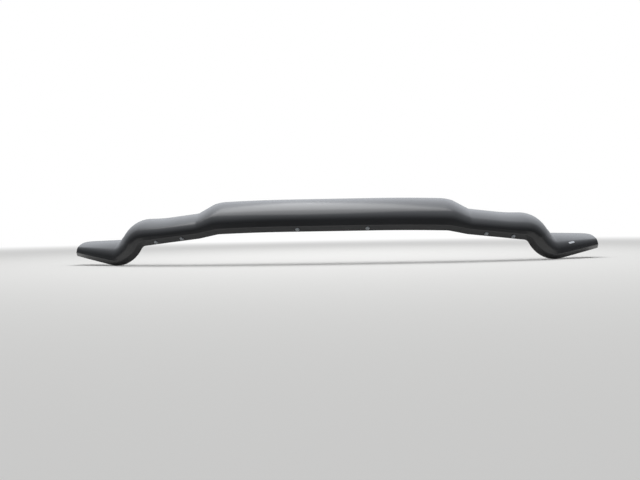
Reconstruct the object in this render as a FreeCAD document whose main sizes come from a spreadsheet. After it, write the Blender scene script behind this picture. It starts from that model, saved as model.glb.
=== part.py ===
"""Hood shield of a heavy-duty pickup, with its brackets, screws, pads, tapes and badge plate.

Sizes are in millimetres and degrees. +X runs to the right as one faces the truck, +Y runs
rearward over the hood and +Z is up. The origin is half way between the hood-screw holes of the
two central brackets, on the face that lies against the underside of the hood.
"""
import FreeCAD, Part
import math
import os
from dataclasses import dataclass

import Sketcher
from FreeCAD import Placement, Rotation, Vector

SIZES = {
    # Front view of the crease line, from the middle of the truck outwards
    "dome_half_width": 367.0,
    "crown_share": 0.64,
    "crown_drop": 4.0,
    "step_width": 63.0,
    "step_drop": 13.0,
    "shoulder_width": 207.0,
    "shoulder_drop": 23.0,
    "ramp_width": 45.0,
    "ramp_drop": 74.0,
    "wing_width": 213.0,
    "wing_lift": 38.5,
    "crown_radius": 6000.0,
    "dome_corner_radius": 105.0,
    "step_corner_radius": 90.0,
    "shoulder_corner_radius": 38.0,
    "wing_top_radius": 14.0,
    # Plan view: how far the tips lie behind the middle, how late the sweep begins, tip rounding
    "sweep_depth": 195.0,
    "sweep_power": 2.8,
    "tip_corner_radius": 26.0,
    # Section of the formed sheet at four places, measured from the crease
    "dome_rise": 90.6,
    "dome_run": 105.0,
    "dome_face": 16.0,
    "dome_brow": 35.0,
    "dome_rear": 12.0,
    "dome_flange": 16.0,
    "shoulder_rise": 68.7,
    "shoulder_run": 92.0,
    "shoulder_face": 10.0,
    "shoulder_brow": 33.0,
    "shoulder_rear": 10.0,
    "shoulder_flange": 16.0,
    "ramp_rise": 80.3,
    "ramp_run": 92.0,
    "ramp_face": 14.0,
    "ramp_brow": 36.0,
    "ramp_rear": 12.0,
    "ramp_flange": 16.0,
    "tip_rise": 38.0,
    "tip_run": 85.0,
    "tip_face": 8.0,
    "tip_brow": 24.0,
    "tip_rear": 1.0,
    "tip_flange": 12.0,
    "blend_margin": 16.0,
    "wall": 3.0,
    "lean": 3.0,
    "flange_angle": 45.0,
    "crease_radius": 4.0,
    # Places along the dome, the shoulder and the wing, as shares of that stretch's width
    "central_bracket_share": 0.3,
    "inner_bracket_share": 0.275,
    "outer_bracket_share": 0.71,
    "first_pad_share": 0.19,
    "second_pad_share": 0.585,
    "third_pad_share": 0.913,
    "shoulder_pad_share": 0.435,
    "tape_start_share": 0.155,
    "tape_end_share": 0.765,
    "badge_share": 0.521,
    # Brackets: folded steel straps from the flange back to the underside of the hood
    "bracket_width": 24.0,
    "bracket_wall": 2.0,
    "bracket_bend": 2.0,
    "foot_half_length": 8.0,
    "foot_corner": 3.0,
    "web_length": 14.0,
    "riser_angle": 60.0,
    "riser_length": 6.0,
    "hood_foot_length": 27.0,
    "hood_hole_reach": 14.0,
    "hood_foot_corner": 6.0,
    "hood_hole": 6.6,
    "screw_line": 12.0,
    # Flange screws with their washers and nuts
    "screw_diameter": 6.0,
    "screw_length": 14.0,
    "screw_hole": 6.6,
    "head_diameter": 10.5,
    "head_height": 3.3,
    "head_top_diameter": 6.4,
    "socket_radius": 2.3,
    "socket_depth": 2.0,
    "washer_diameter": 13.0,
    "washer_height": 1.0,
    "nut_radius": 5.75,
    "nut_height": 5.0,
    "thread_gap": 0.1,
    "seat_gap": 0.15,
    # Clear pads under the rear edge, foam tapes under the wings
    "pad_radius": 6.35,
    "pad_height": 3.6,
    "pad_inset": 15.0,
    "tape_inset": 18.0,
    "tape_width": 12.0,
    "tape_height": 1.1,
    # Plain plate on the right wing
    "badge_slope": 54.0,
    "badge_length": 24.0,
    "badge_width": 7.0,
    "badge_height": 1.2,
}

STATION_STEP = 75.0
STATION_TURN = 15.0
LEG_SHARE = 0.98
CUT_DEPTH = 12.0
SPARE = 10.0
REARWARD = Vector(0, 1, 0)

doc = FreeCAD.newDocument("HoodShield")


def make_sheet():
    """Spreadsheet with one named row for each driving size."""
    sheet = doc.addObject("Spreadsheet::Sheet", "Sizes")
    for row, (name, value) in enumerate(SIZES.items(), start=1):
        sheet.set(f"A{row}", name)
        sheet.set(f"B{row}", str(value))
        sheet.setAlias(f"B{row}", name)
    doc.recompute()
    return sheet


def size(name):
    return SIZES[name]


@dataclass
class Piece:
    """A straight run, or an arc where centre is given; turn is positive to the left."""

    start: Vector
    end: Vector
    centre: Vector = None
    turn: float = 0.0

    @property
    def radius(self):
        return (self.start - self.centre).Length

    @property
    def length(self):
        return abs(self.turn) * self.radius if self.centre else (self.end - self.start).Length

    def offset(self, side, wall):
        """The same piece moved by the wall to the left (side 1) or to the right (side -1)."""
        if self.centre is None:
            across = left_of(self.end - self.start) * (side * wall)
            return Piece(self.start + across, self.end + across)
        share = 1 - side * math.copysign(wall, self.turn) / self.radius
        start = self.centre + (self.start - self.centre) * share
        end = self.centre + (self.end - self.centre) * share
        return Piece(start, end, self.centre, self.turn)

    def at(self, distance):
        """Point and heading in radians at a distance along the piece."""
        if self.centre is None:
            along = (self.end - self.start).normalize()
            return self.start + along * distance, math.atan2(along.y, along.x)
        angle = math.copysign(distance / self.radius, self.turn)
        spoke = turned(self.start - self.centre, angle)
        return self.centre + spoke, math.atan2(spoke.y, spoke.x) + math.copysign(math.pi / 2, self.turn)


def turned(vector, angle):
    cosine, sine = math.cos(angle), math.sin(angle)
    return Vector(vector.x * cosine - vector.y * sine, vector.x * sine + vector.y * cosine, 0)


def left_of(vector):
    return Vector(-vector.y, vector.x, 0).normalize()


class Chain:
    """Tangent chain of straight runs and arcs, drawn from a start point along a heading."""

    def __init__(self, start, heading):
        self.point = start
        self.heading = math.radians(heading)
        self.pieces = []

    def line(self, length):
        end = self.point + Vector(math.cos(self.heading), math.sin(self.heading), 0) * length
        self.pieces.append(Piece(self.point, end))
        self.point = end
        return self

    def arc(self, radius, turn):
        """Arc of the given radius that turns by so many degrees, to the left if positive."""
        angle = math.radians(turn)
        normal = turned(Vector(math.cos(self.heading), math.sin(self.heading), 0), math.pi / 2)
        centre = self.point + normal * math.copysign(radius, angle)
        end = centre + turned(self.point - centre, angle)
        self.pieces.append(Piece(self.point, end, centre, angle))
        self.point = end
        self.heading += angle
        return self


class Spine:
    """Crease line of one half in front view: legs between corners, each corner rounded."""

    def __init__(self):
        corners = self.corners()
        legs = [b - a for a, b in zip(corners, corners[1:])]
        turns = [math.atan2(a.x * b.y - a.y * b.x, a.dot(b)) for a, b in zip(legs, legs[1:])]
        radii = [size("crown_radius"), size("dome_corner_radius"), size("step_corner_radius"),
                 size("shoulder_corner_radius"), size("wing_top_radius") + size("ramp_rise")]
        reach = [radius * math.tan(abs(turn) / 2) for radius, turn in zip(radii, turns)]
        for number, leg in enumerate(legs[1:-1]):
            fit = min(1.0, LEG_SHARE * leg.Length / (reach[number] + reach[number + 1]))
            reach[number] *= fit
            reach[number + 1] *= fit
        chain = Chain(corners[0], 0)
        before = 0.0
        for leg, turn, room in zip(legs, turns, reach):
            chain.line(leg.Length - before - room)
            chain.arc(room / math.tan(abs(turn) / 2), math.degrees(turn))
            before = room
        chain.line(legs[-1].Length - before)
        self.pieces = chain.pieces
        self.length = sum(piece.length for piece in self.pieces)
        self.half_width = corners[-1].x

    @staticmethod
    def corners():
        dome = Vector(size("dome_half_width"), -size("crown_drop"), 0)
        step = dome + Vector(size("step_width"), -size("step_drop"), 0)
        shoulder = step + Vector(size("shoulder_width"), -size("shoulder_drop"), 0)
        ramp = shoulder + Vector(size("ramp_width"), -size("ramp_drop"), 0)
        tip = ramp + Vector(size("wing_width"), size("wing_lift"), 0)
        crown = Vector(size("dome_half_width") * size("crown_share"), 0, 0)
        return [Vector(0, 0, 0), crown, dome, step, shoulder, ramp, tip]

    def at(self, distance):
        """Point (across, up) and slope in radians at a distance along the line."""
        for piece in self.pieces[:-1]:
            if distance <= piece.length:
                return piece.at(distance)
            distance -= piece.length
        return self.pieces[-1].at(distance)

    def stations(self, edges):
        """Distances of the sections: close in the corners, wider between, and one at each edge."""
        places = [0.0]
        for piece in self.pieces:
            steps = math.ceil(piece.length / STATION_STEP)
            if piece.centre:
                steps = max(steps, math.ceil(abs(math.degrees(piece.turn)) / STATION_TURN))
            start = places[-1]
            places += [start + piece.length * (step + 1) / steps for step in range(steps)]
        return sorted(places + [self.distance_to(across) for across in edges])

    def distance_to(self, across):
        """Distance along the line at which it is so far from the middle of the truck."""
        low, high = 0.0, self.length
        for _ in range(60):
            middle = (low + high) / 2
            if self.at(middle)[0].x < across:
                low = middle
            else:
                high = middle
        return low


@dataclass
class Mix:
    """Blend of the section sizes of two neighbouring places."""

    first: str
    second: str
    weight: float

    def value(self, name):
        return size(f"{self.first}_{name}") * (1 - self.weight) + size(f"{self.second}_{name}") * self.weight

    def formula(self, name):
        first, second = f"Sizes.{self.first}_{name}", f"Sizes.{self.second}_{name}"
        return f"{first} * {1 - self.weight:.6f} + {second} * {self.weight:.6f}"


def dome_place(name):
    """Distance from the middle of a place on the dome."""
    return size("dome_half_width") * size(f"{name}_share")


def shoulder_place(name):
    """Distance from the middle of a place on the shoulder."""
    return size("dome_half_width") + size("step_width") + size("shoulder_width") * size(f"{name}_share")


def wing_place(name):
    """Distance from the middle of a place on the wing."""
    return spine.half_width - size("wing_width") * (1 - size(f"{name}_share"))


def section_distances():
    """Distances of the sheet's sections, with one at each edge of a bracket or tape."""
    half = size("bracket_width") / 2
    edges = [place + side * half for place in BRACKETS.values() for side in (-1, 1)]
    return spine.stations(edges + [wing_place("tape_start"), wing_place("tape_end")])


def ease(share):
    share = min(1.0, max(0.0, share))
    return share * share * (3 - 2 * share)


def mix_at(across):
    """Blend of the section sizes so far from the middle of the truck."""
    step_start = size("dome_half_width") - size("blend_margin")
    step_end = size("dome_half_width") + size("step_width") + size("blend_margin")
    if across <= step_end:
        return Mix("dome", "shoulder", ease((across - step_start) / (step_end - step_start)))
    shoulder_start = size("dome_half_width") + size("step_width")
    ramp_start = shoulder_start + size("shoulder_width") / 2
    ramp_end = shoulder_start + size("shoulder_width") + size("ramp_width") + size("blend_margin")
    if across <= ramp_end:
        return Mix("shoulder", "ramp", ease((across - ramp_start) / (ramp_end - ramp_start)))
    return Mix("ramp", "tip", (across - ramp_end) / (spine.half_width - ramp_end))


class Station:
    """Section plane square to the crease line in front view, with the sheet's outer outline."""

    def __init__(self, distance):
        point, self.slope = spine.at(distance)
        self.across = point.x
        share = point.x / spine.half_width
        sweep = size("sweep_depth") * share ** size("sweep_power")
        lean_back = size("sweep_power") * sweep / point.x if point.x > 0 else 0.0
        self.origin = Vector(point.x, sweep, point.y) - datum
        self.upward = Vector(-math.sin(self.slope), 0, math.cos(self.slope))
        along = Vector(math.cos(self.slope), lean_back * math.cos(self.slope), math.sin(self.slope))
        self.along = along.normalize()
        self.mix = mix_at(point.x)

    @property
    def offset(self):
        """Placement of the section plane against the plane of the rearward and upward axes."""
        place = Vector(self.origin.y, self.origin.z, self.origin.x)
        return Placement(place, Rotation(Vector(1, 0, 0), -math.degrees(self.slope)))

    def direction(self, rearward, upward):
        return REARWARD * rearward + self.upward * upward

    def point(self, flat):
        return self.origin + self.direction(flat.x, flat.y)

    def outline(self):
        """Outer side of the sheet: flange, crease, face, nose and top, from the lower edge."""
        mix = self.mix
        start_angle, brow, rear = (math.radians(a) for a in (90 - size("lean"), mix.value("brow"), mix.value("rear")))
        run = mix.value("run") - mix.value("face") * math.cos(start_angle)
        rise = mix.value("rise") - mix.value("face") * math.sin(start_angle)
        nose_run = math.sin(start_angle) - math.sin(brow)
        nose_rise = math.cos(brow) - math.cos(start_angle)
        top_run = math.sin(brow) - math.sin(rear)
        top_rise = math.cos(rear) - math.cos(brow)
        scale = nose_run * top_rise - top_run * nose_rise
        nose_radius = (run * top_rise - top_run * rise) / scale
        top_radius = (nose_run * rise - nose_rise * run) / scale
        fold = 90 + size("lean") - size("flange_angle")
        trim = size("crease_radius") * math.tan(math.radians(fold) / 2)
        flange = mix.value("flange") / math.sin(math.radians(size("flange_angle")))
        away = math.radians(-size("flange_angle"))
        chain = Chain(Vector(math.cos(away), math.sin(away), 0) * flange, 180 - size("flange_angle"))
        chain.line(flange - trim).arc(size("crease_radius"), -fold)
        chain.line(mix.value("face") - trim).arc(nose_radius, -math.degrees(start_angle - brow))
        chain.arc(top_radius, -math.degrees(brow - rear))
        return chain.pieces


def origin_plane(body, role):
    return next(item for item in body.Origin.OriginFeatures if item.Role == role)


def new_sketch(body, name, role, offset=None):
    """Sketch on one of the body's own origin planes, moved by an offset."""
    sketch = body.newObject("Sketcher::SketchObject", name)
    sketch.AttachmentSupport = [(origin_plane(body, role), "")]
    sketch.MapMode = "FlatFace"
    sketch.AttachmentOffset = offset or Placement()
    return sketch


def new_body(name):
    body = doc.addObject("PartDesign::Body", name)
    body.Label = name
    return body


def bind(sketch, name, formula, *constraint):
    """Adds a named dimension and binds it to the sheet."""
    index = sketch.addConstraint(Sketcher.Constraint(*constraint))
    sketch.renameConstraint(index, name)
    sketch.setExpression(f"Constraints.{name}", formula)


def draw(sketch, piece):
    """Adds a piece and returns its number with the numbers of its first and last point."""
    if piece.centre is None:
        return sketch.addGeometry(Part.LineSegment(piece.start, piece.end), False), 1, 2
    first = piece.start if piece.turn > 0 else piece.end
    spoke = first - piece.centre
    low = math.atan2(spoke.y, spoke.x)
    circle = Part.Circle(piece.centre, Vector(0, 0, 1), piece.radius)
    index = sketch.addGeometry(Part.ArcOfCircle(circle, low, low + abs(piece.turn)), False)
    return (index, 1, 2) if piece.turn > 0 else (index, 2, 1)


def join(sketch, kind, before, after):
    sketch.addConstraint(Sketcher.Constraint(kind, before[0], before[2], after[0], after[1]))


def draw_loop(sketch, pieces):
    """Closed outline with its corners joined and its upright and level runs kept so."""
    drawn = [draw(sketch, piece) for piece in pieces]
    for before, after in zip(drawn, drawn[1:] + drawn[:1]):
        join(sketch, "Coincident", before, after)
    for piece, (index, _, _) in zip(pieces, drawn):
        if piece.centre is None and abs(piece.start.x - piece.end.x) < 1e-9:
            sketch.addConstraint(Sketcher.Constraint("Vertical", index))
        elif piece.centre is None and abs(piece.start.y - piece.end.y) < 1e-9:
            sketch.addConstraint(Sketcher.Constraint("Horizontal", index))
    return drawn


def polygon(points):
    return [Piece(a, b) for a, b in zip(points, points[1:] + points[:1])]


def draw_ribbon(sketch, pieces, side, wall, wall_name):
    """Strip of even thickness along a tangent chain; returns the chain's pieces and both ends."""
    inner_pieces = [piece.offset(side, wall) for piece in pieces]
    outer = [draw(sketch, piece) for piece in pieces]
    end = draw(sketch, Piece(pieces[-1].end, inner_pieces[-1].end))
    inner = [draw(sketch, piece) for piece in inner_pieces]
    start = draw(sketch, Piece(inner_pieces[0].start, pieces[0].start))
    for row in (outer, inner):
        for before, after in zip(row, row[1:]):
            join(sketch, "Tangent", before, after)
    join(sketch, "Perpendicular", outer[-1], end)
    join(sketch, "Perpendicular", start, outer[0])
    for cap, strip in ((end[0], inner[-1]), (start[0], inner[0])):
        at_end = cap == end[0]
        cap_point, strip_point = (2, strip[2]) if at_end else (1, strip[1])
        sketch.addConstraint(Sketcher.Constraint("Coincident", cap, cap_point, strip[0], strip_point))
    for piece, (outside, _, _), (inside, _, _) in zip(pieces, outer, inner):
        if piece.centre is None:
            sketch.addConstraint(Sketcher.Constraint("Parallel", outside, inside))
        else:
            sketch.addConstraint(Sketcher.Constraint("Coincident", outside, 3, inside, 3))
    bind(sketch, "Wall", f"Sizes.{wall_name}", "Distance", start[0], wall)
    return outer, start, end


def draw_section(sketch, station):
    """Section of the formed sheet with its sizes bound to the sheet."""
    mix = station.mix
    pieces = station.outline()
    (flange, crease, face, nose, top), _, end = draw_ribbon(sketch, pieces, -1, size("wall"), "wall")
    for line in (flange, face):
        sketch.addConstraint(Sketcher.Constraint("PointOnObject", -1, 1, line[0]))
    edge, lowest = pieces[-1].end, pieces[0].start
    bind(sketch, "Run", mix.formula("run"), "DistanceX", -1, 1, top[0], top[2], edge.x)
    bind(sketch, "Rise", mix.formula("rise"), "DistanceY", -1, 1, top[0], top[2], edge.y)
    bind(sketch, "Flange", mix.formula("flange"), "DistanceY", flange[0], flange[1], -1, 1, -lowest.y)
    bind(sketch, "FlangeAngle", "180 - Sizes.flange_angle", "Angle", flange[0],
         math.radians(180 - size("flange_angle")))
    bind(sketch, "Lean", "90 - Sizes.lean", "Angle", face[0], math.radians(90 - size("lean")))
    bind(sketch, "CreaseRadius", "Sizes.crease_radius", "Radius", crease[0], size("crease_radius"))
    bind(sketch, "Face", mix.formula("face"), "Distance", -1, 1, face[0], face[2], mix.value("face"))
    bind(sketch, "RearSlope", f"{mix.formula('rear')} - 90", "Angle", end[0],
         math.radians(mix.value("rear") - 90))
    brow_angle = math.radians(mix.value("brow"))
    brow_end = pieces[-1].start + Vector(math.cos(brow_angle), math.sin(brow_angle), 0) * size("wall")
    brow = sketch.addGeometry(Part.LineSegment(pieces[-1].start, brow_end), True)
    sketch.addConstraint(Sketcher.Constraint("Tangent", top[0], top[1], brow, 1))
    bind(sketch, "BrowMark", "Sizes.wall", "Distance", brow, size("wall"))
    bind(sketch, "Brow", mix.formula("brow"), "Angle", brow, brow_angle)


def loft(body, name, stations, draw_profile):
    """Loft through one sketch per station, in the station's own plane."""
    sketches = []
    for number, station in enumerate(stations):
        sketch = new_sketch(body, f"{name}_section_{number:02d}", "YZ_Plane", station.offset)
        draw_profile(sketch, station)
        sketches.append(sketch)
    feature = body.newObject("PartDesign::AdditiveLoft", name)
    feature.Profile = sketches[0]
    feature.Sections = [(sketch, [""]) for sketch in sketches[1:]]
    feature.Ruled = True
    body.Tip = feature
    return feature


def pad(body, name, sketch, formula, both_ways=False):
    feature = body.newObject("PartDesign::Pad", name)
    feature.Profile = sketch
    feature.setExpression("Length", formula)
    feature.SideType = "Symmetric" if both_ways else "One side"
    body.Tip = feature
    return feature


def cut(body, name, sketch, depth):
    """Pocket that runs the same way to both sides of its sketch."""
    feature = body.newObject("PartDesign::Pocket", name)
    feature.Profile = sketch
    feature.Length = depth
    feature.SideType = "Symmetric"
    body.Tip = feature
    return feature


def hole(body, name, offset, diameter_name, depth):
    """Round hole square to a plane that is placed by an offset."""
    sketch = new_sketch(body, f"{name}_sketch", "XY_Plane", offset)
    radius = size(diameter_name) / 2
    index = sketch.addGeometry(Part.Circle(Vector(), Vector(0, 0, 1), radius), False)
    sketch.addConstraint(Sketcher.Constraint("Coincident", index, 3, -1, 1))
    bind(sketch, "Diameter", f"Sizes.{diameter_name}", "Diameter", index, 2 * radius)
    return cut(body, name, sketch, depth)


def axes_placement(origin, along, outward):
    """Placement whose X axis runs along and whose Z axis points outward."""
    return Placement(origin, Rotation(along, outward.cross(along), outward, "ZXY"))


def mirrored(placement):
    """The same place on the other half, for a piece that is alike on both of its own halves."""
    rotation = placement.Rotation
    along = rotation.multVec(Vector(1, 0, 0))
    outward = rotation.multVec(Vector(0, 0, 1))
    origin = Vector(-placement.Base.x, placement.Base.y, placement.Base.z)
    return axes_placement(origin, Vector(along.x, -along.y, -along.z), Vector(-outward.x, outward.y, outward.z))


def both_sides(placement):
    return {"left": mirrored(placement), "right": placement}


class FlangeSeat:
    """Where a bracket's foot lies against the inside of the flange, and where its screw goes."""

    def __init__(self, across):
        station = Station(spine.distance_to(across))
        angle = math.radians(size("flange_angle"))
        down = station.direction(math.cos(angle), -math.sin(angle))
        inward = station.direction(math.sin(angle), math.cos(angle))
        foot_line = (down - station.along * down.dot(station.along)).normalize()
        self.normal = station.along.cross(foot_line)
        self.wall = size("wall") * self.normal.dot(inward)
        centre = station.origin + down * size("screw_line") + inward * size("wall")
        rearward = (REARWARD - station.along * REARWARD.dot(station.along)).normalize()
        upward = station.along.cross(rearward)
        self.foot_angle = math.degrees(math.atan2(-foot_line.dot(upward), foot_line.dot(rearward)))
        self.bracket = axes_placement(centre + self.normal * size("seat_gap"), station.along, upward)
        self.screw = self.bracket.multiply(Placement(Vector(), Rotation(Vector(1, 0, 0), -self.foot_angle)))


def bracket_chain(foot_angle):
    """Lower side of the strap: foot on the flange, web, riser and foot under the hood."""
    angle = math.radians(foot_angle)
    start = Vector(-math.cos(angle), math.sin(angle), 0) * size("foot_half_length")
    chain = Chain(start, -foot_angle).line(2 * size("foot_half_length"))
    outside = size("bracket_bend") + size("bracket_wall")
    chain.arc(outside, foot_angle).line(size("web_length"))
    chain.arc(outside, size("riser_angle")).line(size("riser_length"))
    chain.arc(size("bracket_bend"), -size("riser_angle")).line(size("hood_foot_length"))
    return chain.pieces


def hood_hole_centre(foot_angle):
    """Centre of the hood screw's hole on the upper face, in the bracket's own frame."""
    start = bracket_chain(foot_angle)[-1].start
    return Vector(0, start.x + size("hood_hole_reach"), start.y + size("bracket_wall"))


def make_bracket(name, seat, placement):
    body = new_body(name)
    sketch = new_sketch(body, f"{name}_profile", "YZ_Plane")
    pieces = bracket_chain(seat.foot_angle)
    outer, start, _ = draw_ribbon(sketch, pieces, 1, size("bracket_wall"), "bracket_wall")
    foot, first_bend, web, second_bend, riser, third_bend, hood_foot = outer
    sketch.addConstraint(Sketcher.Constraint("PointOnObject", -1, 1, foot[0]))
    bind(sketch, "FootHalf", "Sizes.foot_half_length", "Distance", foot[0], 1, -1, 1, size("foot_half_length"))
    bind(sketch, "Foot", "Sizes.foot_half_length * 2", "Distance", foot[0], pieces[0].length)
    sketch.addConstraint(Sketcher.Constraint("Angle", foot[0], -math.radians(seat.foot_angle)))
    for index, piece, label in ((web, pieces[2], "web_length"), (riser, pieces[4], "riser_length"),
                                (hood_foot, pieces[6], "hood_foot_length")):
        bind(sketch, label.title().replace("_", ""), f"Sizes.{label}", "Distance", index[0], piece.length)
    outside = size("bracket_bend") + size("bracket_wall")
    bind(sketch, "FirstBend", "Sizes.bracket_bend + Sizes.bracket_wall", "Radius", first_bend[0], outside)
    bind(sketch, "SecondBend", "Sizes.bracket_bend + Sizes.bracket_wall", "Radius", second_bend[0], outside)
    bind(sketch, "ThirdBend", "Sizes.bracket_bend", "Radius", third_bend[0], size("bracket_bend"))
    sketch.addConstraint(Sketcher.Constraint("Horizontal", web[0]))
    sketch.addConstraint(Sketcher.Constraint("Horizontal", hood_foot[0]))
    bind(sketch, "RiserAngle", "Sizes.riser_angle", "Angle", riser[0], math.radians(size("riser_angle")))
    strap = pad(body, f"{name}_strap", sketch, "Sizes.bracket_width", both_ways=True)
    doc.recompute()
    clipped = strap
    for label, corner, end_point in (("hood_foot_corner", "rear", pieces[-1].end), ("foot_corner", "front", start)):
        edges = end_edges(clipped.Shape, corner, seat.foot_angle)
        feature = body.newObject("PartDesign::Chamfer", f"{name}_{corner}_corners")
        feature.Base = (clipped, edges)
        feature.setExpression("Size", f"Sizes.{label}")
        body.Tip = feature
        doc.recompute()
        clipped = feature
    tilt = Rotation(Vector(1, 0, 0), -seat.foot_angle)
    hole(body, f"{name}_screw_hole", Placement(Vector(), tilt), "screw_hole", CUT_DEPTH / 2)
    hole(body, f"{name}_hood_hole", Placement(hood_hole_centre(seat.foot_angle), Rotation()), "hood_hole", CUT_DEPTH)
    body.Placement = placement
    return body


def end_edges(shape, which, foot_angle):
    """Names of the two short edges at the rear end or at the front end of a strap."""
    wall = size("bracket_wall")
    level = Vector(0, 0, 1) if which == "rear" else Rotation(Vector(1, 0, 0), -foot_angle).multVec(Vector(0, 0, 1))
    found = []
    for number, edge in enumerate(shape.Edges, start=1):
        if abs(edge.Length - wall) > 1e-3 or len(edge.Vertexes) != 2:
            continue
        along = (edge.Vertexes[1].Point - edge.Vertexes[0].Point).normalize()
        if abs(abs(along.dot(level)) - 1) < 1e-4:
            found.append((edge.CenterOfMass.y, f"Edge{number}"))
    found.sort(reverse=which == "rear")
    return [name for _, name in found[:2]]


def revolve(body, name, sketch):
    feature = body.newObject("PartDesign::Revolution", name)
    feature.Profile = sketch
    feature.ReferenceAxis = (sketch, ["V_Axis"])
    feature.Angle = 360
    body.Tip = feature
    return feature


def make_screw():
    """Machine screw with a low tapered head: under the head at zero, shank upwards."""
    body = new_body("screw_pattern")
    sketch = new_sketch(body, "screw_profile", "XZ_Plane")
    head, rim, shank = (size(name) / 2 for name in ("head_diameter", "head_top_diameter", "screw_diameter"))
    top, tip = -size("head_height"), size("screw_length")
    corners = ((0, top), (rim, top), (head, 0), (shank, 0), (shank, tip), (0, tip))
    drawn = draw_loop(sketch, polygon([Vector(*corner, 0) for corner in corners]))
    bind(sketch, "TopRadius", "Sizes.head_top_diameter / 2", "DistanceX", -1, 1, drawn[1][0], 1, rim)
    bind(sketch, "HeadRadius", "Sizes.head_diameter / 2", "DistanceX", -1, 1, drawn[2][0], 1, head)
    bind(sketch, "ShankRadius", "Sizes.screw_diameter / 2", "DistanceX", -1, 1, drawn[3][0], 1, shank)
    bind(sketch, "Length", "Sizes.screw_length", "DistanceY", -1, 1, drawn[5][0], 1, tip)
    bind(sketch, "HeadHeight", "Sizes.head_height", "DistanceY", drawn[0][0], 1, -1, 1, -top)
    revolve(body, "screw_turned", sketch)
    doc.recompute()
    level = Placement(Vector(0, 0, top), Rotation())
    socket = new_sketch(body, "screw_socket_sketch", "XY_Plane", level)
    draw_loop(socket, polygon(hexagon(size("socket_radius"))))
    recess = body.newObject("PartDesign::Pocket", "screw_socket")
    recess.Profile = socket
    recess.setExpression("Length", "Sizes.socket_depth * 2")
    recess.SideType = "Symmetric"
    body.Tip = recess
    return body


def hexagon(radius):
    return [turned(Vector(radius, 0, 0), math.radians(60 * corner)) for corner in range(6)]


def ring_body(name, outline_name, height_name, outline):
    """Flat piece with a round bore for the screw."""
    body = new_body(name)
    sketch = new_sketch(body, f"{name}_profile", "XY_Plane")
    if outline:
        draw_loop(sketch, polygon(outline))
    else:
        rim = sketch.addGeometry(Part.Circle(Vector(), Vector(0, 0, 1), size(outline_name) / 2), False)
        sketch.addConstraint(Sketcher.Constraint("Coincident", rim, 3, -1, 1))
        bind(sketch, "Rim", f"Sizes.{outline_name}", "Diameter", rim, size(outline_name))
    radius = size("screw_diameter") / 2 + size("thread_gap")
    bore = sketch.addGeometry(Part.Circle(Vector(), Vector(0, 0, 1), radius), False)
    sketch.addConstraint(Sketcher.Constraint("Coincident", bore, 3, -1, 1))
    bind(sketch, "Bore", "Sizes.screw_diameter / 2 + Sizes.thread_gap", "Radius", bore, radius)
    pad(body, f"{name}_disc", sketch, f"Sizes.{height_name}")
    return body


def make_group(name, pattern, placements):
    """One node that holds a separate copy of the pattern at each place."""
    links = []
    for number, placement in enumerate(placements, start=1):
        link = doc.addObject("App::Link", f"{name}_{number}")
        link.LinkedObject = pattern
        link.Placement = placement
        links.append(link)
    group = doc.addObject("Part::Compound", name)
    group.Label = name
    group.Links = links
    return group


def raised(placement, height):
    return placement.multiply(Placement(Vector(0, 0, height), Rotation()))


def make_fasteners(seats):
    """Screws, washers and nuts of all brackets, each kind as one group."""
    gap, strap = size("seat_gap"), size("bracket_wall")
    placements = [(seat, place) for seat in seats for place in both_sides(seat.screw).values()]
    washer_top = size("washer_height") + gap
    washers = [raised(place, -gap - seat.wall - washer_top) for seat, place in placements]
    screws = [raised(place, -gap - seat.wall - washer_top - gap / 2) for seat, place in placements]
    nuts = [raised(place, strap + gap / 2) for _, place in placements]
    washer = ring_body("washer_pattern", "washer_diameter", "washer_height", None)
    nut = ring_body("nut_pattern", "nut_radius", "nut_height", hexagon(size("nut_radius")))
    return [make_group("flange_screws", make_screw(), screws),
            make_group("flange_washers", washer, washers),
            make_group("flange_nuts", nut, nuts)]


def top_point(station, inset, depth):
    """Point so far in front of the rear edge and so deep under the top, with its upward normal."""
    top = station.outline()[-1]
    _, heading = top.at(top.length - inset)
    spoke = turned(Vector(math.cos(heading), math.sin(heading), 0), math.pi / 2)
    flat = top.centre + spoke * (top.radius - depth)
    rearward = station.direction(math.cos(heading), math.sin(heading))
    return station.point(flat), station.along.cross(rearward).normalize()


def make_pad(name, across, side):
    """Clear bump pad that keeps the sheet off the paint, flat side on the sheet."""
    station = Station(spine.distance_to(across))
    depth = size("wall") + size("seat_gap") * 2
    point, upward = top_point(station, size("pad_inset"), depth)
    body = new_body(name)
    sketch = new_sketch(body, f"{name}_profile", "XY_Plane")
    rim = sketch.addGeometry(Part.Circle(Vector(), Vector(0, 0, 1), size("pad_radius")), False)
    sketch.addConstraint(Sketcher.Constraint("Coincident", rim, 3, -1, 1))
    bind(sketch, "Rim", "Sizes.pad_radius", "Radius", rim, size("pad_radius"))
    pad(body, f"{name}_disc", sketch, "Sizes.pad_height")
    placement = axes_placement(point, station.along, upward * -1)
    body.Placement = both_sides(placement)[side]
    return body


def draw_tape(sketch, station):
    """Section of the foam tape under the sheet's top."""
    top = station.outline()[-1]
    depth = size("wall") + size("seat_gap") * 1.5
    first, _ = top.at(top.length - size("tape_inset") - size("tape_width"))
    last, _ = top.at(top.length - size("tape_inset"))
    turn = -size("tape_width") / top.radius
    upper = Piece(first, last, top.centre, turn).offset(-1, depth)
    draw_ribbon(sketch, [upper], -1, size("tape_height"), "tape_height")


def make_tapes():
    """Foam tape under the right wing's top, and its mirror image under the left one's."""
    body = new_body("wing_tape_right")
    start, end = (spine.distance_to(wing_place(name)) for name in ("tape_start", "tape_end"))
    stations = [Station(distance) for distance in section_distances() if start <= distance <= end]
    loft(body, "tape_strip", stations, draw_tape)
    other = doc.addObject("Part::Mirroring", "wing_tape_left")
    other.Label = "wing_tape_left"
    other.Source = body
    other.Base = Vector()
    other.Normal = Vector(1, 0, 0)
    return [other, body]


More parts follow.
